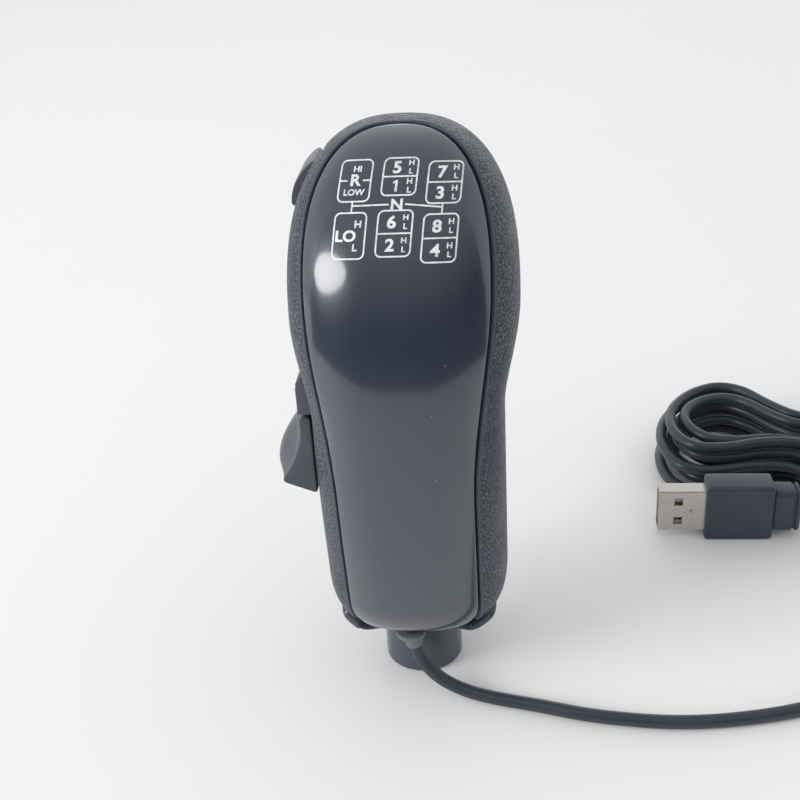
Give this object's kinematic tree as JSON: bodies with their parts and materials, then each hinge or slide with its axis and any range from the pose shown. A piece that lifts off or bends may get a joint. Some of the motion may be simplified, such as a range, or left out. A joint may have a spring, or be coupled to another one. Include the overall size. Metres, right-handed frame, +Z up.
{
  "type": "gear shift knob",
  "caption": "Truck-style gear knob for driving games: grained shell with a glossy gate plate, a range lever, a splitter rocker, a threaded collar and a coiled USB lead.",
  "frame": {"origin": "middle of the collar's foot, at the mouth of the shaft socket", "axes": "+Z up along the collar's axis, the face plate looks towards -Y, the range lever is on the -X side"},
  "size_m": [0.1673, 0.1317, 0.1222],
  "materials": {
    "shell_grain": "moulded leather grain",
    "plate_gloss": "high gloss with a printed white gate diagram",
    "smooth_black": "smooth satin",
    "control_black": "satin",
    "steel": "bright",
    "switch_body": "moulded",
    "switch_button": "moulded",
    "board_green": "solder mask",
    "header_white": "moulded",
    "wire_red": "insulation",
    "wire_blue": "insulation",
    "cable_black": "satin jacket",
    "grommet_rubber": "matte",
    "tie_black": "satin",
    "plug_black": "fine grain",
    "plug_metal": "bright plated",
    "contact_gold": "gold flash"
  },
  "bodies": {
    "knob": {"grip_shell": "shell_grain", "face_plate": "plate_gloss", "bottom_cap": "smooth_black", "collar_sleeve": "smooth_black", "threaded_insert": "steel", "face_screws": "steel", "cap_screws": "steel", "range_cradle": "smooth_black", "range_pin": "steel", "range_spring": "steel", "range_switch": "switch_body", "splitter_cradle": "smooth_black", "splitter_pin": "steel", "splitter_spring": "steel", "splitter_switch": "switch_body", "controller_board": "board_green", "controller_chip": "switch_body", "board_connectors": "header_white", "board_screws": "steel", "range_wires": "wire_red", "splitter_wires": "wire_blue", "usb_inner_lead": "cable_black", "cable_grommet": "grommet_rubber", "usb_cable": "cable_black", "cable_hank": "cable_black", "cable_tie": "tie_black", "plug_lead": "cable_black", "plug_boot": "plug_black", "plug_body": "plug_black", "plug_shell": "plug_metal", "plug_tongue": "header_white", "plug_contacts": "contact_gold"},
    "range_lever": {"range_lever": "control_black"},
    "range_plunger": {"range_plunger": "switch_button"},
    "splitter_rocker": {"splitter_rocker": "control_black"},
    "splitter_plunger": {"splitter_plunger": "switch_button"}
  },
  "joints": [
    {"name": "range_flip", "type": "hinge", "parent": "knob", "child": "range_lever", "pos_m": [-0.0194, 0, 0.0702], "axis": [0, 1, 0], "range_deg": [0, 14]},
    {"name": "range_press", "type": "slide", "parent": "knob", "child": "range_plunger", "axis": [0, 0, -1], "range_m": [0, 0.0016]},
    {"name": "splitter_rock", "type": "hinge", "parent": "knob", "child": "splitter_rocker", "pos_m": [-0.01174, 0.015, 0.10599], "axis": [0, 1, 0], "range_deg": [0, 10]},
    {"name": "splitter_press", "type": "slide", "parent": "knob", "child": "splitter_plunger", "axis": [-0.5736, 0, -0.8192], "range_m": [0, 0.0011]}
  ],
  "couplings": [
    {"joint": "range_press", "follows": "range_flip", "m_per_rad": 0.0062},
    {"joint": "splitter_press", "follows": "splitter_rock", "m_per_rad": 0.0062}
  ]
}
